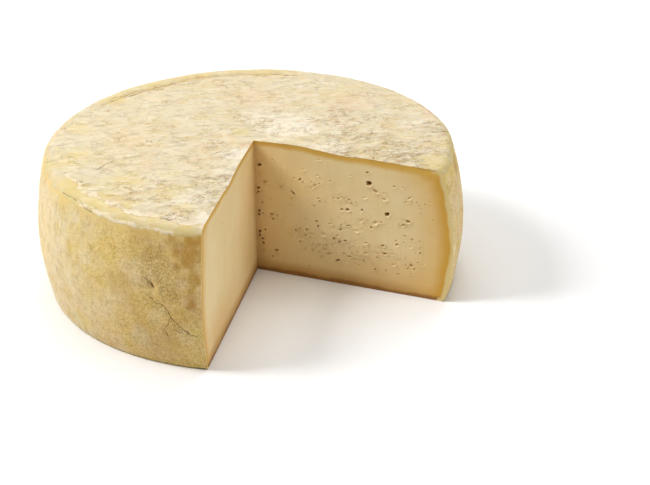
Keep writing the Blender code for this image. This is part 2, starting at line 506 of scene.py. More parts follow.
def ridge_marks(points):
    """Distance in mm outward from the line where the wrinkles end, and the shares by which that line
    is the pale ridge and the lip's crease."""
    angle = np.arctan2(points[:, 1], points[:, 0])
    radius = np.hypot(points[:, 0], points[:, 1]) / plan_scale(angle)
    line = np.where(angle > 0, LIP_CREASE_RADIUS, RIDGE_RADIUS)
    wander = 1.4 * MM * noise_at(points, 12 * MM, 3, seed=14)
    return (radius - line - wander) / MM, span_share(angle, RIDGE_SPAN), span_share(angle, LIP_SPAN)


def rough_share(points):
    """How strongly the top is wrinkled, from 0 to 1."""
    rough = np.full(len(points), 0.3)
    for x, y, radius, strength in ROUGH_ZONES:
        distance = np.linalg.norm(points - on_top(x, y), axis=1) / (radius * MM)
        rough = np.maximum(rough, strength * smooth_step(1.3, 0.2, distance))
    return rough * smooth_step(-0.7, 0.3, noise_at(points, 11 * MM, 3, seed=4))


def rind_relief(points, normals, top_share, from_brow):
    """Height of the rind's relief in metres, and the marks that belong to it."""
    folds = points.copy()
    folds[:, :2] += 5 * MM * drifts(points, 20 * MM, (15, 16))
    folds = turned(folds, FOLD_DIRECTION, FOLD_STRETCH)
    from_ridge, ridge_span, lip_span = ridge_marks(points)
    band = smooth_step(-0.5, 0.8, from_ridge) * np.maximum(ridge_span, lip_span)
    rough = rough_share(points) * (1 - 0.7 * band)
    swell = noise_at(points, 14 * MM, 2, seed=1)
    fold = noise_at(folds, 4.4 * MM, 2, seed=5)
    fine_fold = noise_at(folds, 2.4 * MM, 2, seed=3)
    wrinkles = FOLD * np.abs(fold) ** FOLD_ROUNDNESS
    wrinkles += FINE_FOLD * np.abs(fine_fold) ** FOLD_ROUNDNESS
    top = TOP_SWELL * swell + rough * (wrinkles - FOLD_FOOT)

    grain = noise_at(points, 2.0 * MM, 2, seed=6)
    side_wave = noise_at(points * (1, 1, 0.8), 5.0 * MM, 3, seed=7)
    side = SIDE_SWELL * swell + SIDE_WAVE * side_wave + GRAIN * grain

    crack_depth, from_crack, crack_span = crack_marks(points, normals)
    height = top * top_share + side * (1 - top_share) - crack_depth
    ridge = smooth_step(0.3, -0.5, from_ridge) * smooth_step(-9, -1, from_ridge)
    height += RIDGE * ridge_span * ridge
    flakes = smooth_step(-0.35, 0.35, noise_at(points, 5 * MM, 2, seed=18))
    height += (BROW_FLAKES + RIDGE_FLAKES * ridge_span) * flakes * np.exp(-(from_brow / 0.9) ** 2)
    height -= LIP_CREASE * lip_span * np.exp(-(from_ridge / 0.9) ** 2)
    marks = {"fold": fold, "rough": rough, "from_crack": from_crack, "crack_span": crack_span,
             "from_ridge": from_ridge, "ridge_span": ridge_span, "lip_span": lip_span}
    return height * MM, marks


def ochre_share(points):
    """How ochre the side is, from 0, cream, to 1: most of all towards the left cut."""
    angle = np.arctan2(points[:, 1], points[:, 0])
    shown = smooth_step(math.radians(-140), math.radians(-92), angle)
    elsewhere = 0.34 + 0.45 * noise_at(points, 45 * MM, 2, seed=17)
    elsewhere += 0.3 * smooth_step(math.radians(45), math.radians(10), np.abs(angle))
    facing = smooth_step(math.radians(-150), math.radians(-130), angle) * (angle < math.radians(-60))
    return np.clip(shown * facing + elsewhere * (1 - facing), 0, 1)


def side_grid(outline, angles):
    """Places and normals of the side's rows and columns."""
    grid = np.empty((len(outline), len(angles), 3))
    for row, (radius, height) in enumerate(outline):
        grid[row, :, :2] = CUT_TIP + reach_from_tip(angles, radius)[:, None] * heading(angles).T
        up = float(np.clip((height - BELLY_HEIGHT) / (HEIGHT - BELLY_HEIGHT), 0, 1))
        grid[row, :, 2] = height + up ** 3 * top_lift(*grid[row, :, :2].T)
    slope = np.gradient(outline, axis=0)
    slope /= np.linalg.norm(slope, axis=1)[:, None]
    outward = grid[:, :, :2] / np.linalg.norm(grid[:, :, :2], axis=2)[:, :, None]
    normals = np.empty_like(grid)
    normals[:, :, :2] = outward * -slope[:, None, 1:]
    normals[:, :, 2] = slope[:, :1]
    normals[0] = (0, 0, 1)
    return grid, normals


def build_rind(shell):
    """Add the rind of top and side.

    Returns the lowest row of points, and for the right and the left end the points of its top
    edge, from the tip outward, and of its side edge, from the top down.
    """
    outline = side_outline()
    angles = column_angles()
    rows, columns = len(outline), len(angles)
    grid, normals = side_grid(outline, angles)

    plans = [along_cut(cut, np.linalg.norm(grid[0, column, :2] - CUT_TIP), EDGE_SPACING)
             for cut, column in ((RIGHT_CUT, 0), (LEFT_CUT, -1))]
    free = staggered_grid(TOP_SPACING)
    free = free[inside_top(free, 0.5 * TOP_SPACING)]
    plans += [CUT_TIP[None], free]
    level = np.concatenate([at_height(plan, HEIGHT + top_lift(*plan.T)) for plan in plans])
    points = np.concatenate([grid.reshape(-1, 3), level])
    normals = np.concatenate([normals.reshape(-1, 3), at_height(np.zeros((len(level), 2)), 1)])

    top_share = smooth_step(0.25, 0.95, normals[:, 2] + 0.12 * noise_at(points, 7 * MM, 2, seed=8))
    run = np.concatenate([[0], np.cumsum(np.linalg.norm(np.diff(outline, axis=0), axis=1))])
    level_angles = np.arctan2(level[:, 1], level[:, 0])
    inside = np.hypot(level[:, 0], level[:, 1]) / plan_scale(level_angles) - outline[0, 0]
    from_brow = np.concatenate([np.repeat(run, columns), inside]) - BROW_RUN
    from_brow = from_brow / MM + 1.1 * noise_at(points, 9 * MM, 2, seed=19)
    height, marks = rind_relief(points, normals, top_share, from_brow)
    height *= smooth_step(0.2 * MM, 5 * MM, points[:, 2])
    marks |= {"top_share": top_share, "from_brow": from_brow, "ochre": ochre_share(points),
              **spot_shares(points)}
    numbers = np.array(shell.add_points(points + normals * height[:, None], **marks))
    shell.unrolled = np.stack([np.tile((angles - RIGHT_CUT) * BELLY_RADIUS, rows),
                               np.repeat(run, columns)], 1)

    parts = np.split(numbers, np.cumsum([rows * columns] + [len(plan) for plan in plans[:-1]]))
    side = parts[0].reshape(rows, columns)
    right_edge, left_edge, tip, inner = (part.tolist() for part in parts[1:])
    right_end = tip + right_edge[::-1], side[:, 0].tolist()
    left_end = tip + left_edge[::-1], side[:, -1].tolist()
    for cut, (top_edge, side_edge) in ((RIGHT_CUT, right_end), (LEFT_CUT, left_end)):
        chain = top_edge + side_edge
        placed = onto_cut(np.array([shell.points[number] for number in chain]), cut)
        for number, point in zip(chain, placed.tolist()):
            shell.points[number] = point

    quads = np.stack([side[:-1, :-1], side[1:, :-1], side[1:, 1:], side[:-1, 1:]], -1)
    shell.add_faces(quads.reshape(-1, 4).tolist(), SIDE)
    border = side[0].tolist() + left_edge + tip + right_edge[::-1]
    shell.fill(border, points[border][:, :2], inner, free, TOP)
    return side[-1].tolist(), right_end, left_end


# ---------------- cut faces and their eyes
# Eyes placed one by one: distance from the tip, height, width, tallness in mm, tilt in degrees, and
# depth as a share of the mean of width and tallness
RIGHT_EYES = (
    (69.0, 65.2, 4.0, 3.2, -20, 0.62), (73.0, 61.4, 4.0, 2.2, -35, 0.34), (79.8, 48.2, 3.1, 3.0, 0, 0.7),
    (56.3, 47.3, 3.0, 1.9, -10, 0.5), (64.8, 48.5, 1.8, 1.5, 0, 0.5), (68.0, 71.8, 2.4, 1.3, 0, 0.45),
    (83.8, 65.9, 2.4, 1.2, 0, 0.35), (88.6, 66.4, 2.0, 1.0, 0, 0.3), (92.7, 60.2, 2.0, 2.6, -30, 0.28),
    (97.0, 58.3, 1.8, 1.1, -20, 0.35), (101.5, 57.8, 1.2, 1.1, 0, 0.45), (78.1, 57.3, 3.0, 1.6, -15, 0.28),
    (51.1, 53.3, 2.6, 1.3, 0, 0.32), (55.3, 54.0, 1.4, 1.1, 0, 0.25), (27.9, 61.1, 2.3, 1.8, 25, 0.45),
    (24.3, 61.4, 1.6, 1.2, 0, 0.4), (23.4, 52.4, 4.0, 1.3, -38, 0.52), (11.3, 70.9, 1.4, 1.0, 0, 0.45),
    (3.2, 66.5, 3.4, 1.7, 10, 0.6), (9.9, 36.8, 2.6, 1.1, -15, 0.52), (10.7, 34.0, 1.8, 0.9, 0, 0.5),
    (36.2, 46.2, 1.6, 0.9, 0, 0.4), (37.4, 37.0, 1.6, 1.2, 0, 0.5), (38.3, 34.0, 1.9, 1.4, -20, 0.52),
    (52.2, 37.0, 1.3, 1.0, 0, 0.45), (51.9, 34.0, 1.6, 1.6, 0, 0.42), (56.6, 37.4, 2.2, 1.0, 4, 0.4),
    (92.0, 46.0, 3.4, 1.8, -5, 0.45), (89.0, 43.2, 2.6, 1.6, 20, 0.35), (106.5, 48.9, 2.0, 1.1, 0, 0.3),
    (106.0, 41.7, 2.0, 1.1, 0, 0.25), (12.3, 14.2, 2.7, 1.5, 10, 0.55), (9.8, 9.9, 1.5, 1.0, 0, 0.45),
    (4.2, 17.7, 2.2, 1.4, -40, 0.6), (32.6, 7.7, 1.0, 1.6, 0, 0.45), (49.9, 14.5, 3.8, 1.3, 25, 0.55),
    (72.7, 12.8, 2.0, 1.6, 0, 0.42), (86.5, 12.3, 2.6, 1.1, 0, 0.28), (78.2, 23.6, 3.2, 2.0, 0, 0.4),
    (74.2, 23.1, 2.4, 1.0, 0, 0.3), (99.2, 27.8, 1.6, 1.3, 40, 0.45), (99.0, 35.1, 1.6, 1.0, -30, 0.35),
    (94.0, 30.8, 2.4, 1.4, 0, 0.28), (84.0, 18.0, 3.0, 1.4, 0, 0.2), (51.3, 26.3, 2.4, 1.6, -30, 0.4),
    (67.3, 28.6, 2.8, 1.2, 5, 0.35), (77.3, 28.5, 2.6, 1.6, 30, 0.35), (57.5, 18.3, 3.6, 1.1, 12, 0.38),
    (53.8, 19.6, 1.8, 1.1, -35, 0.42), (38.7, 65.4, 2.0, 1.2, 0, 0.25), (46.2, 63.2, 1.9, 1.5, 0, 0.28),
    (58.3, 68.6, 1.8, 1.1, 0, 0.26), (39.3, 75.0, 2.4, 0.9, 0, 0.22), (29.8, 67.5, 2.2, 1.1, 0, 0.24),
    (34.8, 60.6, 2.0, 1.2, 20, 0.28), (35.0, 57.4, 1.8, 1.2, 0, 0.3), (41.9, 58.3, 1.0, 0.9, 0, 0.4),
    (30.6, 27.4, 2.4, 1.0, 4, 0.4), (24.7, 29.3, 2.4, 1.0, -50, 0.35), (42.2, 20.2, 2.6, 1.4, 0, 0.32),
    (34.9, 18.2, 2.2, 1.2, 0, 0.32), (76.7, 11.0, 0.9, 0.9, 0, 0.3), (99.3, 52.0, 1.5, 1.0, 0, 0.28),
    (66.6, 56.3, 2.6, 1.4, 0, 0.16), (103.4, 61.9, 1.3, 0.9, 0, 0.2), (47.0, 31.0, 1.2, 0.8, 0, 0.4),
    (2.2, 52.0, 2.4, 1.7, 0, 0.6), (1.9, 49.6, 1.6, 1.2, 0, 0.55), (2.2, 37.6, 2.6, 1.6, 0, 0.65),
    (2.0, 35.2, 1.7, 1.9, 0, 0.6), (4.4, 36.8, 1.4, 0.9, 0, 0.5), (2.2, 24.6, 2.6, 1.6, 0, 0.65),
    (2.0, 22.2, 1.8, 1.6, 0, 0.6), (3.9, 20.3, 2.6, 1.5, -40, 0.6),
)
LEFT_EYES = (
    (73.1, 64.5, 1.3, 2.8, 8, 1.0), (84.0, 47.6, 0.9, 1.5, 0, 0.5), (31.0, 58.0, 0.8, 1.0, 0, 0.3),
)
# Scattered eyes: number, lowest and highest distance, lowest and highest height, width range in mm,
# greatest depth as a share
RIGHT_SCATTER = (
    (20, 24, 98, 13, 32, 0.8, 2.2, 0.45),
    (30, 28, 110, 34, 62, 0.7, 1.8, 0.4),
    (16, 14, 100, 56, 74, 0.6, 1.4, 0.35),
    (12, 8, 34, 24, 50, 0.7, 1.6, 0.45),
    (7, 1.9, 6.0, 12, 70, 0.8, 1.6, 0.6),
    (10, 8, 100, 5, 14, 0.5, 1.1, 0.4),
)
LEFT_SCATTER = ((22, 8, 108, 8, 72, 0.3, 0.7, 0.3),)
# Rings of an eye and of a crumb: share of its outline, and share of its depth
EYE_RINGS = ((1.0, 0.0), (0.82, 0.25), (0.62, 0.68), (0.34, 0.94), (0.0, 1.0))
CRUMB_RINGS = ((1.0, 0.0), (0.62, 0.5), (0.0, 1.0))
# An eye narrower than this, in mm, is a crumb
CRUMB_WIDTH = 1.5
# The deepest place sits this share of the size above and before the middle
EYE_LEAN = (-0.16, 0.3)
EYE_DEPTH = 1.2
# How far the lower right rim stands out, as a share of the size
EYE_LIP = 0.25
# Scattered eyes: range of tallness as a share of the width, mean and spread of the tilt, and how
# often a free place is looked for
EYE_TALLNESS = (0.45, 0.9)
EYE_TILT = (-5, 18)
EYE_TRIES = 20
# Dents of the torn zones: one to so many square mm, and their ranges as for eyes
DENT_AREA = 1.9
DENT_WIDTHS = (1.2, 3.6)
DENT_TALLNESS = (0.35, 0.85)
DENT_TILT = (-12, 28)
DENT_DEPTHS = (0.22, 0.62)
# Gaps in mm that eyes and dents keep from the others
EYE_GAP, DENT_GAP = 0.35, 0.1
# Heights of a cut face's relief in mm
LONG_WAVE, SHORT_WAVE, TORN_RELIEF = 0.14, 0.06, 0.34
# How far an eye's middle keeps from the edges of its cut face, and the free places from an eye's
# middle: a share of the eye's greater width, and a gap. Free places also keep a gap from the edges.
EYE_TO_EDGE, EYE_EDGE_GAP = 0.62, 0.3 * MM
PLACE_TO_EYE, PLACE_EYE_GAP = 0.6, 0.2 * MM
PLACE_EDGE_GAP = 0.4 * MM
TORN_SPACING = 0.62 * MM
# From this share on, a place counts as torn and its surroundings are meshed closely
TORN_LIMIT = 0.3
# Zones of torn paste, full of small dents: distance and height, reach along and up in mm, strength
CRUMBLY_ZONES = (
    (52, 26, 12, 5, 1.0), (63, 19, 12, 4, 1.0), (75, 25, 9, 5, 1.0), (40, 20, 11, 4, 0.8),
    (88, 20, 12, 6, 0.6), (27, 28, 9, 5, 0.9), (55, 36, 10, 3, 0.9), (92, 33, 9, 4, 0.6),
    (35, 58, 6, 4, 0.8), (53, 53, 7, 4, 0.9), (93, 59, 6, 4, 0.6), (10, 36, 6, 3, 0.9),
    (90, 44, 6, 4, 1.0), (12, 55, 9, 3, 0.5), (40, 51, 9, 2, 0.5), (72, 42, 14, 2, 0.4),
)


def is_free(eye, eyes, gap):
    """Whether an eye keeps a gap from all the others."""
    return all(math.hypot(eye[0] - other[0], eye[1] - other[1]) > 0.55 * (eye[2] + other[2]) + gap
               for other in eyes)


def scattered_eyes(placed, groups, zones, seed):
    """The eyes placed one by one, those scattered between them and the dents of the torn zones."""
    draw = np.random.default_rng(seed)
    eyes = list(placed)
    for count, near, far, low, high, narrow, wide, deepest in groups:
        for _ in range(count):
            for _ in range(EYE_TRIES):
                width = narrow + (wide - narrow) * draw.random() ** 2
                eye = (draw.uniform(near, far), draw.uniform(low, high), width,
                       width * draw.uniform(*EYE_TALLNESS), draw.normal(*EYE_TILT),
                       deepest * draw.uniform(0.5, 1.0))
                if is_free(eye, eyes, EYE_GAP):
                    eyes.append(eye)
                    break
    for distance, height, along, up, strength in zones:
        for _ in range(round(strength * along * up / DENT_AREA)):
            width = DENT_WIDTHS[0] + (DENT_WIDTHS[1] - DENT_WIDTHS[0]) * draw.random() ** 1.5
            eye = (distance + along * draw.normal(0, 0.5), height + up * draw.normal(0, 0.5), width,
                   width * draw.uniform(*DENT_TALLNESS), draw.normal(*DENT_TILT),
                   draw.uniform(*DENT_DEPTHS) / math.sqrt(width))
            if is_free(eye, eyes, DENT_GAP):
                eyes.append(eye)
    return eyes


def eye_points(eye, seed):
    """Rings of one eye in the plane of the cut: places, depths and the painted shade of each."""
    distance, height, width, tallness, tilt, depth = eye
    count = max(7, round(math.pi * (width + tallness) / 2 / 0.42))
    around = np.linspace(0, math.tau, count, endpoint=False)
    circle = np.stack([np.cos(around), np.sin(around), 0 * around], 1)
    lumps = 1 + 0.34 * noise_at(circle, 0.9, 3, seed=seed)
    tilt = math.radians(tilt)
    turn = np.array(((math.cos(tilt), math.sin(tilt)), (-math.sin(tilt), math.cos(tilt))))
    lean = np.array(EYE_LEAN) * min(width, tallness)
    places, depths, eye_shade = [], [], []
    for size, share in CRUMB_RINGS if width < CRUMB_WIDTH else EYE_RINGS:
        ring = circle[:, :2] * (lumps * size)[:, None] * (width / 2, tallness / 2)
        if size == 0.0:
            ring = ring[:1]
        places.append(ring @ turn + (distance, height) + lean * (1 - size))
        lip = EYE_LIP * (1 - share) * size * np.maximum(circle[:len(ring), :2] @ (0.6, -0.8), 0)
        depths.append((EYE_DEPTH * share * depth - lip) * (width + tallness) / 2)
        # Painted shade, darker towards the middle of an eye and in deeper eyes
        eye_shade.append(np.full(len(ring), share * smooth_step(0.2, 0.58, depth)))
    return np.concatenate(places) * MM, np.concatenate(depths) * MM, np.concatenate(eye_shade)


def torn_share(places, zones):
    """How torn each place of a cut face is, from 0 to 1."""
    zone = np.zeros(len(places))
    for distance, height, along, up, strength in zones:
        apart = np.hypot((places[:, 0] / MM - distance) / along, (places[:, 1] / MM - height) / up)
        zone = np.maximum(zone, strength * smooth_step(1.25, 0.4, apart))
    return zone


def inside_outline(points, outline):
    """Whether points lie inside a closed outline."""
    inside = np.zeros(len(points), bool)
    for start, end in zip(outline, np.roll(outline, -1, axis=0)):
        if start[1] == end[1]:
            continue
        crossing = (points[:, 1] < start[1]) != (points[:, 1] < end[1])
        share = (points[:, 1] - start[1]) / (end[1] - start[1])
        inside ^= crossing & (points[:, 0] < start[0] + share * (end[0] - start[0]))
    return inside


def cut_grid(top_run, side_run, columns, rows):
    """Places spread over a cut face, closer together near its edges."""
    across = np.sin(np.linspace(0, 1, columns + 2)[1:-1] * math.pi / 2)
    up = 0.5 - 0.5 * np.cos(np.linspace(0, 1, rows + 2)[1:-1] * math.pi)
    across, up = np.meshgrid((across + np.linspace(0, 1, columns + 2)[1:-1]) / 2,
                             (up + np.linspace(0, 1, rows + 2)[1:-1]) / 2)
    draw = np.random.default_rng(7)
    shift = draw.uniform(-CUT_GRID_SHIFT, CUT_GRID_SHIFT, (2,) + across.shape)
    across = (across + shift[0] / columns).ravel()
    up = (up + shift[1] / rows).ravel()
    reach = across * np.interp(up * HEIGHT, side_run[::-1, 1], side_run[::-1, 0])
    return np.stack([reach, up * np.interp(reach, top_run[:, 0], top_run[:, 1])], 1)


def torn_grid(zones):
    """Close places all over the torn zones."""
    fine = staggered_grid(TORN_SPACING)
    return fine[torn_share(fine, zones) >= TORN_LIMIT]


# Width of the band along the top at the tip, as a share of its usual width
TOP_BAND = 0.85
# What one cut face is made of, the width of the golden band under its rind, and how much the band
# along the top widens with each metre from the tip
CutFace = namedtuple("CutFace", "region angle grid eyes crumbly rim_band top_band_growth")


def build_cut(shell, end, foot_edge, tip_edge, face):
    """Fill one cut face inside its edges, which run top, side, foot, tip."""
    along = heading(face.angle)
    inward = np.array((-along[1], along[0])) * (1 if face.region == RIGHT_FACE else -1)
    top_edge, side_edge = end
    outline = top_edge + side_edge + foot_edge + tip_edge
    corners = np.array([shell.points[number] for number in outline])
    flat = np.stack([(corners[:, :2] - CUT_TIP) @ along, corners[:, 2]], 1)
    closed = np.concatenate([flat, flat[:1]])
    side_start = len(top_edge)
    foot_start = side_start + len(side_edge)
    foot_end = foot_start + len(foot_edge)
    top_run, side_run = flat[:side_start + 1], flat[side_start:foot_start]

    grid = cut_grid(top_run, side_run, *face.grid)
    if face.crumbly:
        grid = grid[torn_share(grid, face.crumbly) < TORN_LIMIT]
        grid = np.concatenate([grid, torn_grid(face.crumbly)])
    grid = grid[inside_outline(grid, flat) & (distance_to_path(grid, closed) > PLACE_EDGE_GAP)]
    pieces = []
    for number, eye in enumerate(face.eyes):
        centre = np.array(eye[:2]) * MM
        width = max(eye[2], eye[3]) * MM
        near_edge = distance_to_path(centre[None], closed)[0] < EYE_TO_EDGE * width + EYE_EDGE_GAP
        if near_edge or not inside_outline(centre[None], flat)[0]:
            continue
        from_eye = np.linalg.norm(grid - centre, axis=1)
        grid = grid[from_eye > PLACE_TO_EYE * width + PLACE_EYE_GAP]
        pieces.append(eye_points(eye, number))
    level = grid, np.zeros(len(grid)), np.zeros(len(grid))
    places, depths, eye_shade = (np.concatenate(group) for group in zip(level, *pieces))

    to_edge = distance_to_path(places, closed)
    in_plane = at_height(places, 0)
    wave = LONG_WAVE * noise_at(in_plane, 16 * MM, 2, seed=face.region)
    wave += SHORT_WAVE * noise_at(in_plane, 4 * MM, 2, seed=face.region + 4)
    torn = noise_at(in_plane * (1, 1.6, 1), 2.6 * MM, 3, seed=20)
    wave += TORN_RELIEF * torn * torn_share(places, face.crumbly)
    depths = depths + MM * wave * smooth_step(0, 4 * MM, to_edge)
    plan = CUT_TIP + places[:, :1] * along + depths[:, None] * inward
    new = shell.add_points(np.column_stack([plan, places[:, 1]]), eye=eye_shade,
                           crumbly=torn_share(places, face.crumbly))

    numbers = outline + new
    placed = np.concatenate([flat, places])
    foot_run = flat[foot_start - 1:foot_end + 1]
    top_band = TOP_BAND + face.top_band_growth * placed[:, 0]
    distances = {
        "from_tip": placed[:, 0],
        "from_top": distance_to_path(placed, top_run) / top_band,
        "from_rim": distance_to_path(placed, side_run) / face.rim_band,
        "from_foot": distance_to_path(placed, foot_run),
    }
    for name, values in distances.items():
        for number, distance in zip(numbers, (values / MM).tolist()):
            shell.marks[name][number] = distance
    shell.fill(outline, flat, new, places, face.region, flip=face.region == LEFT_FACE)


def build_foot(shell, ring, right_edge, left_edge, tip_number):
    """Close the underside with a flat, coarse fill."""
    plan = staggered_grid(FOOT_SPACING)
    plan = plan[inside_top(plan, 0.6 * FOOT_SPACING)]
    border = list(ring) + left_edge + [tip_number] + right_edge[::-1]
    flat = np.array([shell.points[number][:2] for number in border])
    shell.fill(border, flat, shell.add_points(at_height(plan, 0)), plan, FOOT, flip=True)


def lay_out_texture(mesh, regions, unrolled):
    """UV map for baking: one island for each region, but two for the side."""
    corners, counts = np.empty(len(mesh.loops), int), np.empty(len(mesh.polygons), int)
    mesh.loops.foreach_get("vertex_index", corners)
    mesh.polygons.foreach_get("loop_total", counts)
    regions = np.repeat(regions, counts)
    points = np.array([vertex.co for vertex in mesh.vertices])[corners]
    places = points[:, :2].copy()
    for region, cut in ((RIGHT_FACE, RIGHT_CUT), (LEFT_FACE, LEFT_CUT)):
        here = regions == region
        places[here, 0] = (points[here, :2] - CUT_TIP) @ heading(cut)
        places[here, 1] = points[here, 2]
    side = regions == SIDE
    places[side] = unrolled[corners[side]]
    half = (LEFT_CUT - RIGHT_CUT) * BELLY_RADIUS / 2
    starts = np.cumsum(counts) - counts
    second = side & np.repeat(np.minimum.reduceat(places[:, 0], starts) >= half, counts)
    places[second, 0] -= half
    regions[second] = SECOND_HALF
    for region, (zero, scale) in TEXTURE_PLACES.items():
        here = regions == region
        places[here] = (places[here] / MM * scale + zero) / TEXTURE_SIZE
    mesh.uv_layers.new(name="OFBake").data.foreach_set("uv", places.ravel())


def build_wheel():
    """The visible wheel as one closed mesh."""
    shell = Shell()
    right_eyes = scattered_eyes(RIGHT_EYES, RIGHT_SCATTER, CRUMBLY_ZONES, seed=23)
    left_eyes = scattered_eyes(LEFT_EYES, LEFT_SCATTER, (), seed=12)
    right = CutFace(RIGHT_FACE, RIGHT_CUT, RIGHT_GRID, right_eyes, CRUMBLY_ZONES, 1.0, 6.0)
    left = CutFace(LEFT_FACE, LEFT_CUT, LEFT_GRID, left_eyes, (), 0.42, 0.0)
    ring, right_end, left_end = build_rind(shell)
    tip_top = right_end[0][0]
    tip_foot = shell.add_points([(*CUT_TIP, 0.0)])[0]
    heights = np.linspace(0, shell.points[tip_top][2], TIP_EDGE_STEPS + 1)[1:-1]
    tip_edge = shell.add_points([(*CUT_TIP, height) for height in heights])
    foot_edges = []
    for cut, corner in ((RIGHT_CUT, ring[0]), (LEFT_CUT, ring[-1])):
        plan = along_cut(cut, np.linalg.norm(np.array(shell.points[corner][:2]) - CUT_TIP),
                         FOOT_EDGE_SPACING)
        foot_edges.append(shell.add_points(at_height(plan, 0)))
    build_foot(shell, ring, foot_edges[0], foot_edges[1], tip_foot)
    build_cut(shell, right_end, foot_edges[0], [tip_foot] + tip_edge, right)
    build_cut(shell, left_end, foot_edges[1], [tip_foot] + tip_edge, left)

    mesh = bpy.data.meshes.new("cheese_wheel_looks")
    mesh.from_pydata(shell.points, [], shell.faces)
    regions = np.array(shell.regions)
    mesh.polygons.foreach_set("material_index", (regions >= RIGHT_FACE).astype(int))
    for name, values in shell.marks.items():
        mesh.attributes.new(name, 'FLOAT', 'POINT').data.foreach_set("value", values)
    mesh.shade_smooth()
    mesh.set_sharp_from_angle(angle=SHARP_ANGLE)
    mesh.validate(verbose=True)
    lay_out_texture(mesh, regions, shell.unrolled)
    return add_object("cheese_wheel_looks", mesh)


# ---------------- materials
def srgb(red, green, blue):
    """Linear colour of a colour given in the usual 0 to 255 steps."""
    steps = np.array((red, green, blue)) / 255
    linear = np.where(steps <= 0.04045, steps / 12.92, ((steps + 0.055) / 1.055) ** 2.4)
    return *linear.tolist(), 1.0


class Value:
    """Output of a node, which works in sums and products like a number."""

    def __init__(self, looks, socket):
        self.looks = looks
        self.socket = socket

    def __add__(self, other):
        return self.looks.maths('ADD', self, other)

    def __sub__(self, other):
        return self.looks.maths('SUBTRACT', self, other)

    def __rsub__(self, other):
        return self.looks.maths('SUBTRACT', other, self)

    def __mul__(self, other):
        return self.looks.maths('MULTIPLY', self, other)

    def __abs__(self):
        return self.looks.maths('ABSOLUTE', self)

    def larger(self, other):
        """The larger of this and another value."""
        return self.looks.maths('MAXIMUM', self, other)

    def fit(self, low, high, to_low=0.0, to_high=1.0):
        """The value moved from one range to another, with soft ends."""
        inputs = {"Value": self, "From Min": low, "From Max": high, "To Min": to_low, "To Max": to_high}
        return self.looks.node("ShaderNodeMapRange", "Result", inputs, interpolation_type='SMOOTHSTEP')

    def line(self, width):
        """1 along the thin lines where a noise crosses its middle, 0 away from them."""
        return abs(self - 0.5).fit(width, 0.0)

    def blend(self, first, second):
        """First number where this value is 0, second where it is 1."""
        return self.looks.mix(self, first, second, 'FLOAT')


class Looks:
    """A material's node tree, with short calls for the nodes used here."""

    def __init__(self, name):
        self.material = bpy.data.materials.new(name)
        self.material.use_nodes = True
        self.tree = self.material.node_tree
        place = self.node("ShaderNodeTexCoord", "Object", {})
        self.place = self.node("ShaderNodeVectorMath", 0, {0: place, "Scale": 1 / MM}, operation='SCALE')

    def put(self, socket, value):
        """Link a socket to an output, or set its number or colour."""
        if isinstance(value, Value):
            self.tree.links.new(value.socket, socket)
        else:
            socket.default_value = value

    def node(self, kind, output, inputs, **settings):
        """Add a node and return one of its outputs."""
        node = self.tree.nodes.new(kind)
        for name, value in settings.items():
            setattr(node, name, value)
        for name, value in inputs.items():
            self.put(node.inputs[name], value)
        return Value(self, node.outputs[output])

    def mark(self, name):
        """A number stored at the mesh's points."""
        return self.node("ShaderNodeAttribute", "Fac", {}, attribute_name=name)

    def stretched(self, turn, scale):
        """Places in mm, turned about the vertical and scaled."""
        inputs = {"Vector": self.place, "Rotation": (0, 0, turn), "Scale": scale}
        return self.node("ShaderNodeMapping", 0, inputs, vector_type='TEXTURE')

    def noise(self, size, detail, rough, place=None, warp=0.0):
        """Noise from 0 to 1 whose swells are about one size (in mm) wide."""
        return self.node("ShaderNodeTexNoise", "Fac", {
            "Vector": place or self.place, "Scale": 1 / size, "Detail": detail, "Roughness": rough,
            "Distortion": warp,
        })

    def cells(self, size):
        """Distance to scattered places about one size (in mm) apart, as a share of the size."""
        return self.node("ShaderNodeTexVoronoi", "Distance", {"Vector": self.place, "Scale": 1 / size})

    def maths(self, operation, first, second=0.0):
        """A sum, product or the like."""
        return self.node("ShaderNodeMath", 0, {0: first, 1: second}, operation=operation)

    def mix(self, share, first, second, kind='RGBA'):
        """First colour where the share is 0, second where it is 1."""
        return self.node("ShaderNodeMix", "Result", {"Factor": share, "A": first, "B": second},
                         data_type=kind)

    def paint(self, base, *layers):
        """A colour with others laid over it in turn, each by a share."""
        colour = srgb(*base) if isinstance(base, tuple) else base
        for share, over in layers:
            colour = self.mix(share, colour, srgb(*over))
        return colour

    def finish(self, colour, roughness, height, depth, **constants):
        """Feed the shader, full height standing for a depth in mm, and return the material."""
        normal = self.node("ShaderNodeBump", 0, {"Height": height, "Distance": depth * MM})
        inputs = {"Base Color": colour, "Roughness": roughness, "Normal": normal, **constants}
        for name, value in inputs.items():
            self.put(self.tree.nodes["Principled BSDF"].inputs[name.replace("_", " ")], value)
        return self.material


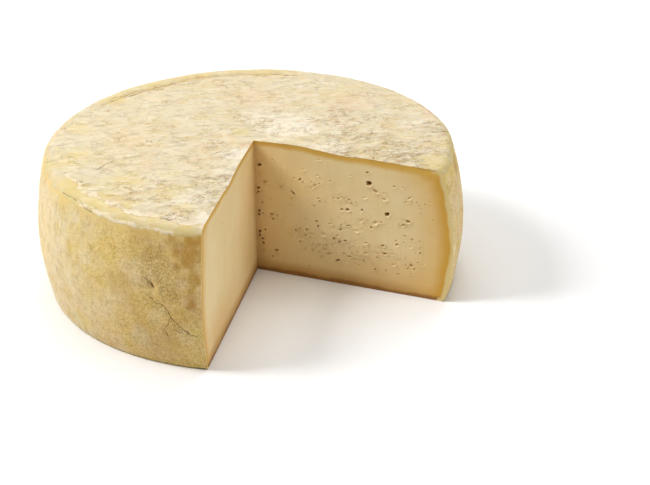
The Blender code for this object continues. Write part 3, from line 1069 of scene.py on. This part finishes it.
def top_rind(looks, folds, film, chips, veil):
    """Colour and height of the top: a pale flaking film over straw, wrinkled in places."""
    pale, straw, rosy, brown, _ = (looks.mark(kind) for kind in SPOT_KINDS)
    rough = looks.mark("rough")
    long_folds = looks.stretched(FOLD_DIRECTION, (4, 1, 1))
    cloud = looks.noise(34, 4, 0.55)
    dashes = looks.noise(1.0, 4, 0.65, long_folds)
    crease = looks.noise(3.4, 2, 0.5, folds, 0.9).line(0.03) * rough.fit(0.1, 0.9, 0.25, 1.0)
    layers = looks.maths('FRACT', looks.noise(6, 3, 0.5, folds, 0.9) * 7.0)
    gaps = looks.noise(5, 3, 0.6)
    broken = gaps.fit(0.4, 0.54, 0.15, 1.0)
    nicks = looks.noise(1.9, 2, 0.5, long_folds, 0.6).line(0.04) * gaps.fit(0.47, 0.56)
    valley = abs(looks.mark("fold")).fit(0.22, 0.0) * rough
    lively = (rough * 0.7 + looks.noise(13, 3, 0.6)).fit(0.45, 1.0, 0.12, 1.0)
    film_share = (film + pale * 0.1).fit(0.49, 0.53) * lively.blend(0.55, 1.0)

    smooth = looks.paint(
        (209, 196, 166),
        (cloud.fit(0.38, 0.62), (209, 192, 155)),
        (veil.fit(0.5, 0.62) * rough.blend(0.25, 0.6), (209, 187, 132)),
        (pale * 0.7, (228, 219, 204)),
        (straw * 0.8, (213, 193, 128)),
        (rosy * 0.6, (214, 185, 150)),
        (brown * 0.6, (178, 140, 92)),
        # Straw tone of the rind in the fold valleys, partly painted shade
        (valley * 0.25, (202, 176, 122)),
        (film_share * pale.fit(0.0, 1.0, 0.4, 0.75), (228, 217, 192)),
    )
    nicked = looks.paint(
        smooth,
        (chips.fit(0.47, 0.42) * 0.2, (202, 176, 120)),
        (chips.fit(0.53, 0.57) * 0.35, (232, 221, 194)),
        # Painted shade in the grooves of the dashes
        (dashes.fit(0.58, 0.68) * 0.25, (192, 156, 88)),
        (layers.fit(0.25, 0.02) * broken * 0.6, (240, 230, 207)),
        # Painted shadow where each flaking layer drops, and painted shade in creases and nicks
        (layers.fit(0.8, 0.95) * broken * 0.75, (170, 130, 60)),
        (crease * 0.6, (166, 124, 56)),
        (nicks * 0.6, (158, 114, 48)),
    )
    height = film + film_share * 0.25 + chips * 0.6 + layers * broken * 0.9
    height = height - dashes * 0.2 - crease * 0.5 - nicks * 0.45
    return looks.mix(lively, smooth, nicked), height * lively.blend(0.4, 1.0)


def side_rind(looks, mottle, from_brow):
    """Colour and height of the side: cream to ochre, mottled, with grainy and brown spots."""
    pale, straw, rosy, brown, grainy = (looks.mark(kind) for kind in SPOT_KINDS)
    blotches = looks.noise(20, 5, 0.6, warp=0.3)
    patches = looks.noise(11, 4, 0.55, warp=0.5)
    fuzz = looks.noise(1.2, 5, 0.7)
    streaks = looks.noise(1.6, 4, 0.6, looks.stretched(0.0, (1, 1, 4)))
    grains = looks.cells(1.0)
    ochre = looks.mark("ochre") + blotches.fit(0.3, 0.7, -0.22, 0.22)
    speckle = ochre.fit(0.0, 1.0, 0.3, 1.0)
    colour = looks.paint(
        (220, 204, 168),
        (ochre.fit(0.0, 1.0), (224, 191, 118)),
        (patches.fit(0.5, 0.62) * 0.45, (224, 195, 112)),
        (patches.fit(0.46, 0.36) * 0.35, (229, 209, 158)),
        (straw * 0.75, (223, 195, 108)),
        (rosy * 0.6, (228, 199, 156)),
        (pale * 0.75, (235, 218, 174)),
        (streaks.fit(0.5, 0.64) * ochre.fit(0.6, 0.1, 0.05, 0.35), (200, 172, 112)),
        (streaks.fit(0.48, 0.36) * ochre.fit(0.6, 0.1, 0.0, 0.3), (236, 220, 180)),
        (mottle.fit(0.5, 0.62) * 0.32, (186, 150, 80)),
        (mottle.fit(0.47, 0.36) * 0.35, (231, 211, 156)),
        (fuzz.fit(0.53, 0.59, 0.0, 0.4) * speckle, (164, 122, 60)),
        (fuzz.fit(0.47, 0.41, 0.0, 0.5) * speckle, (240, 217, 164)),
        # Just below where the top's film ends, the side is smoother and straw-coloured
        (from_brow.fit(8.0, 0.5) * 0.6, (226, 197, 124)),
        (brown * 0.75, (180, 128, 36)),
        # Painted shade in the gaps between the pale mould grains
        (grainy * grains.fit(0.4, 0.62) * 0.45, (146, 112, 60)),
        (grainy * grains.fit(0.36, 0.12) * 0.14, (228, 206, 152)),
    )
    return colour, mottle * 1.1 + fuzz * 0.8 - grains * grainy * 0.5


def rind_material():
    """Dry rind: the looks of top and side, and what lies on the shoulder between them."""
    looks = Looks("rind")
    folds = looks.stretched(FOLD_DIRECTION, (FOLD_STRETCH, 1, 1))
    film = looks.noise(6, 7, 0.62, folds, 0.6)
    chips = looks.noise(2.6, 6, 0.65, folds, 0.8)
    veil = looks.noise(8, 4, 0.6, warp=0.4)
    mottle = looks.noise(5.5, 6, 0.68, warp=0.6)
    from_brow = looks.mark("from_brow") + mottle.fit(0.3, 0.7, -0.8, 0.8)
    top, top_height = top_rind(looks, folds, film, chips, veil)
    side, side_height = side_rind(looks, mottle, from_brow)

    # In two stretches the wrinkled film ends before the shoulder, with a smooth straw band outside
    from_ridge, ridge_span, lip_span = (
        looks.mark(name) for name in ("from_ridge", "ridge_span", "lip_span"))
    ragged = from_ridge + chips.fit(0.3, 0.7, -1.5, 1.5) + film.fit(0.35, 0.65, -2.6, 2.6)
    outside = ragged.fit(-0.25, 0.25)
    stretch = ridge_span.larger(lip_span * 0.6)
    above_brow = from_brow.fit(1.0, -0.2)
    band = outside * stretch * above_brow
    shoulder = (from_brow.fit(-5.5, -2.0) * above_brow * 0.8).larger(band)
    flakes = abs(from_brow + film.fit(0.3, 0.7, -0.4, 1.8)).fit(1.6, 0.6)
    flakes *= looks.noise(9, 4, 0.6).fit(0.34, 0.46) * ridge_span * looks.mark("pale").fit(0.05, 0.4)
    film_edge = ((1 - outside) * ragged.fit(-5.5, -1.0) * ridge_span).larger(flakes)
    painted_edge_shadow = abs(ragged - 0.5).fit(0.5, 0.1) * stretch
    lip_crease_shade = abs(from_ridge).fit(0.9, 0.2) * lip_span
    crack_width = mottle.fit(0.38, 0.58, 1.0, 0.35)
    crack = abs(looks.mark("from_crack")).fit(crack_width, 0.0) * looks.mark("crack_span")
    colour = looks.paint(
        looks.mix(from_brow.fit(-0.4, 0.4), top, side),
        (shoulder * veil.fit(0.35, 0.65, 0.45, 0.9), (208, 187, 126)),
        (film_edge * 0.75, (236, 220, 190)),
        # Painted shadow just outside the film's ragged edge
        (painted_edge_shadow * 0.4, (186, 150, 78)),
        # Painted shade in the lip's crease
        (lip_crease_shade * 0.6, (178, 138, 72)),
        # Painted shade inside the cracks
        (crack, (104, 62, 12)),
    )
    height = looks.mark("top_share").blend(side_height, top_height * band.blend(1.0, 0.6))
    height = height + film_edge * 0.35 - crack * 0.15
    return looks.finish(colour, veil.fit(0.3, 0.7, 0.85, 0.65), height, 0.5, Specular_IOR_Level=0.15,
                        Subsurface_Weight=0.3, Subsurface_Radius=(1.0, 0.55, 0.25), Subsurface_Scale=MM)


def paste_material():
    """Pale pressed paste, golden under the rind and brown at its very edge."""
    looks = Looks("paste")
    from_top, from_rim, from_foot, from_tip = (
        looks.mark(name) for name in ("from_top", "from_rim", "from_foot", "from_tip"))
    eye = looks.mark("eye")
    cloud = looks.noise(22, 3, 0.5)
    strokes = looks.noise(1.6, 4, 0.6, looks.stretched(0.0, (1, 1, 12)))
    torn = looks.noise(1.3, 5, 0.65, looks.stretched(0.0, (1.6, 1.6, 1)), 0.5)
    torn = torn.fit(0.5, 0.62) * looks.mark("crumbly")
    waver = looks.noise(18, 3, 0.5).fit(0.3, 0.7, 1.0, -1.0)
    waver += looks.noise(3.5, 3, 0.6).fit(0.3, 0.7, 0.2, -0.2)
    top_depth = from_top + waver * 0.35
    rim_depth = from_rim + waver * 0.8
    foot_depth = from_foot + waver * 0.5
    low = from_tip.fit(30, 85, 0.15, 0.6) * from_tip.fit(114, 98)
    colour = looks.paint(
        (238, 216, 167),
        (cloud.fit(0.35, 0.65), (235, 211, 158)),
        # Painted warm shade of the inner corner: warmer towards the tip
        (from_tip.fit(55, 0, 0.0, 0.6), (238, 200, 132)),
        (strokes.fit(0.52, 0.7) * 0.12, (212, 182, 124)),
        (top_depth.fit(10.0, 4.0) * 0.3, (238, 214, 158)),
        # Darker and warmer towards the foot, most in the outer middle of the face
        (from_foot.fit(34, 8) * low, (222, 178, 108)),
        # Painted shade along the inner corner at the tip
        (from_tip.fit(9, 0, 0.0, 0.4), (204, 158, 92)),
        # Golden band above the foot, partly painted shade near the floor
        (foot_depth.fit(9.5, 2.5), (202, 158, 92)),
        (rim_depth.fit(30.0, 5.0) * 0.75, (222, 180, 102)),
        (rim_depth.fit(11.0, 3.0), (210, 160, 66)),
        (top_depth.fit(4.4, 1.6), (218, 173, 80)),
        # Brown edge at the foot: the rind's own edge, darkened further by painted shade near the floor
        (foot_depth.fit(3.4, 1.2), (156, 110, 56)),
        (rim_depth.fit(2.8, 1.4), (222, 198, 134)),
        (top_depth.fit(1.2, 0.3) * 0.6, (196, 150, 74)),
        # Painted shade inside the eyes and dents, brown at their deepest
        (eye.fit(0.0, 0.6) * 0.65, (174, 120, 50)),
        (eye.fit(0.4, 1.0) * 0.8, (100, 50, 8)),
        # Painted warm shade in the small pits of the torn zones
        (torn * 0.15, (204, 160, 96)),
    )
    height = strokes * 0.1 + looks.noise(0.9, 3, 0.6) * 0.08 - torn * 0.15
    return looks.finish(colour, strokes.fit(0.3, 0.7, 0.5, 0.62), height, 1.0, Specular_IOR_Level=0.2)


# ---------------- stage
CAMERA_AZIMUTH = math.radians(19.6)
CAMERA_ELEVATION = math.radians(25.56)
CAMERA_DISTANCE = 0.988
CAMERA_LENS = 96.1
CAMERA_ROLL = math.radians(0.855)
AIM_RIGHT = 0.0415
AIM_HEIGHT = 0.0153

# Square soft lights that face the wheel: place, size in metres, power in watts. The key light
# stands high on the left and rakes over the top and the right cut; the others fill.
LIGHTS = {
    "key light": ((-1.0, -0.35, 1.15), 0.6, 19.4),
    "top light": ((0.0, 0.0, 1.4), 1.2, 8.5),
    "back light": ((0.0, 0.9, 1.1), 1.0, 8.3),
    "left light": ((-1.4, 0.0, 0.5), 1.0, 1.6),
    "right light": ((1.4, 0.0, 0.5), 1.0, 7.0),
}
SURROUNDINGS_STRENGTH = 0.03
FLOOR_HALF_WIDTH = 4.0
FLOOR_COLOUR = (0.93, 0.93, 0.93, 1)
FLOOR_ROUGHNESS = 0.9


def add_camera():
    """Camera in front of the missing wedge, a little to its left, aimed right of the wheel."""
    back = Vector((math.sin(CAMERA_AZIMUTH) * math.cos(CAMERA_ELEVATION),
                   -math.cos(CAMERA_AZIMUTH) * math.cos(CAMERA_ELEVATION),
                   math.sin(CAMERA_ELEVATION)))
    place = Vector((0, 0, HEIGHT / 2)) + CAMERA_DISTANCE * back
    aim = AIM_RIGHT * Vector((math.cos(CAMERA_AZIMUTH), math.sin(CAMERA_AZIMUTH), 0))
    aim.z = AIM_HEIGHT
    camera = add_object("camera", bpy.data.cameras.new("camera"))
    camera.data.lens = CAMERA_LENS
    camera.data.clip_start = 0.01
    camera.location = place
    turn = (aim - place).to_track_quat('-Z', 'Y') @ Quaternion((0, 0, 1), -CAMERA_ROLL)
    camera.rotation_mode = 'QUATERNION'
    camera.rotation_quaternion = turn
    bpy.context.scene.camera = camera


def add_floor():
    """Plain pale floor."""
    mesh = bpy.data.meshes.new("floor")
    half = FLOOR_HALF_WIDTH
    mesh.from_pydata([(-half, -half, 0), (half, -half, 0), (half, half, 0), (-half, half, 0)], [],
                     [(0, 1, 2, 3)])
    floor = add_object("floor", mesh)
    material = bpy.data.materials.new("floor")
    material.use_nodes = True
    shader = material.node_tree.nodes["Principled BSDF"]
    shader.inputs["Base Color"].default_value = FLOOR_COLOUR
    shader.inputs["Roughness"].default_value = FLOOR_ROUGHNESS
    mesh.materials.append(material)


def add_lights():
    """The soft lights, and faint white light from all around."""
    world = bpy.data.worlds.new("surroundings")
    bpy.context.scene.world = world
    world.use_nodes = True
    background = world.node_tree.nodes["Background"]
    background.inputs["Color"].default_value = (1, 1, 1, 1)
    background.inputs["Strength"].default_value = SURROUNDINGS_STRENGTH
    for name, (place, size, power) in LIGHTS.items():
        light = bpy.data.lights.new(name, 'AREA')
        light.size = size
        light.energy = power
        lamp = add_object(name, light)
        lamp.location = place
        lamp.rotation_euler = (-Vector(place)).to_track_quat('-Z', 'Y').to_euler()


def main():
    """Build the wheel's looks and the stage."""
    add_camera()
    add_lights()
    add_floor()
    wheel = build_wheel()
    wheel.data.materials.append(rind_material())
    wheel.data.materials.append(paste_material())
    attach(wheel, "root")
    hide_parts("cheese_wheel")
    bpy.context.scene.view_settings.view_transform = 'Standard'


main()
